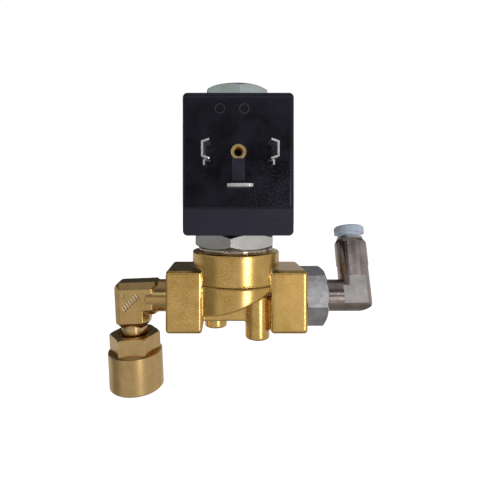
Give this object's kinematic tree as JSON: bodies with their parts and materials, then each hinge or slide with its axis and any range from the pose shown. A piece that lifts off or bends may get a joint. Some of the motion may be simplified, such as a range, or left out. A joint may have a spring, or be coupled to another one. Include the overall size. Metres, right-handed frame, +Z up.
{
  "type": "solenoid valve",
  "caption": "Direct-acting brass solenoid valve with a black square coil, an inlet elbow with a swivel socket and a push-in outlet elbow.",
  "frame": {"origin": "midway between the two mounting bosses, in the plane of their feet, on the armature axis", "axes": "+Z up the armature axis, +X towards the outlet fitting, -Y towards the connector blades"},
  "size_m": [0.0874, 0.0525, 0.0988],
  "materials": {
    "cast_brass": "cast and tumbled",
    "forged_brass": "forged, matt",
    "turned_brass": "turned",
    "insert_brass": "machined",
    "nickel_plate": "matt nickel plate",
    "dark_nickel": "bright dark nickel plate",
    "zinc_plate": "clear zinc plate",
    "tinned_brass": "bright tin plate",
    "stainless": "drawn",
    "spring_steel": "drawn wire",
    "yoke_steel": "pressed sheet",
    "copper": "enamelled wire",
    "coil_resin": "moulded, semi-gloss",
    "bobbin_plastic": "moulded",
    "collet_plastic": "pale translucent acetal",
    "seal_rubber": "moulded"
  },
  "bodies": {
    "valve": {"valve_body": "cast_brass", "inlet_elbow": "forged_brass", "swivel_o_ring": "seal_rubber", "swivel_clip": "spring_steel", "body_seal_ring": "seal_rubber", "guide_base": "nickel_plate", "guide_tube": "stainless", "fixed_core": "stainless", "shading_ring": "copper", "coil_lower_seal": "seal_rubber", "lock_washer": "zinc_plate", "coil_nut": "zinc_plate", "outlet_stem": "dark_nickel", "stem_port_seal": "seal_rubber"},
    "plunger": {"plunger": "stainless", "plunger_seal": "seal_rubber", "plunger_spring": "spring_steel"},
    "coil": {"coil_housing": "coil_resin", "bobbin": "bobbin_plastic", "winding": "copper", "yoke_frame": "yoke_steel", "terminal_left": "tinned_brass", "terminal_right": "tinned_brass", "ground_terminal": "tinned_brass", "screw_insert": "insert_brass"},
    "outlet_elbow": {"push_in_elbow": "dark_nickel", "elbow_o_ring": "seal_rubber", "elbow_clip": "spring_steel", "tube_seal": "seal_rubber", "grab_ring": "spring_steel", "cartridge_sleeve": "nickel_plate"},
    "collet": {"release_collet": "collet_plastic"},
    "socket": {"swivel_socket": "turned_brass"}
  },
  "joints": [
    {"name": "plunger_lift", "type": "slide", "parent": "valve", "child": "plunger", "axis": [0, 0, 1], "range_m": [0, 0.0018], "stiffness_N_per_m": 250, "springref_m": -0.004, "deforming": ["plunger_spring"]},
    {"name": "coil_turn", "type": "hinge", "parent": "valve", "child": "coil", "pos_m": [0, 0, 0.05], "axis": [0, 0, 1], "continuous": true},
    {"name": "outlet_elbow_swivel", "type": "hinge", "parent": "valve", "child": "outlet_elbow", "pos_m": [0.03, 0, 0.01205], "axis": [1, 0, 0], "continuous": true},
    {"name": "collet_press", "type": "slide", "parent": "outlet_elbow", "child": "collet", "axis": [0, -0.3256, -0.9455], "range_m": [0, 0.0012], "stiffness_N_per_m": 800, "springref_m": -0.001},
    {"name": "socket_swivel", "type": "hinge", "parent": "valve", "child": "socket", "pos_m": [-0.03351, 0.00079, -0.00632], "axis": [0.0384, 0.0436, -0.9983], "continuous": true}
  ]
}
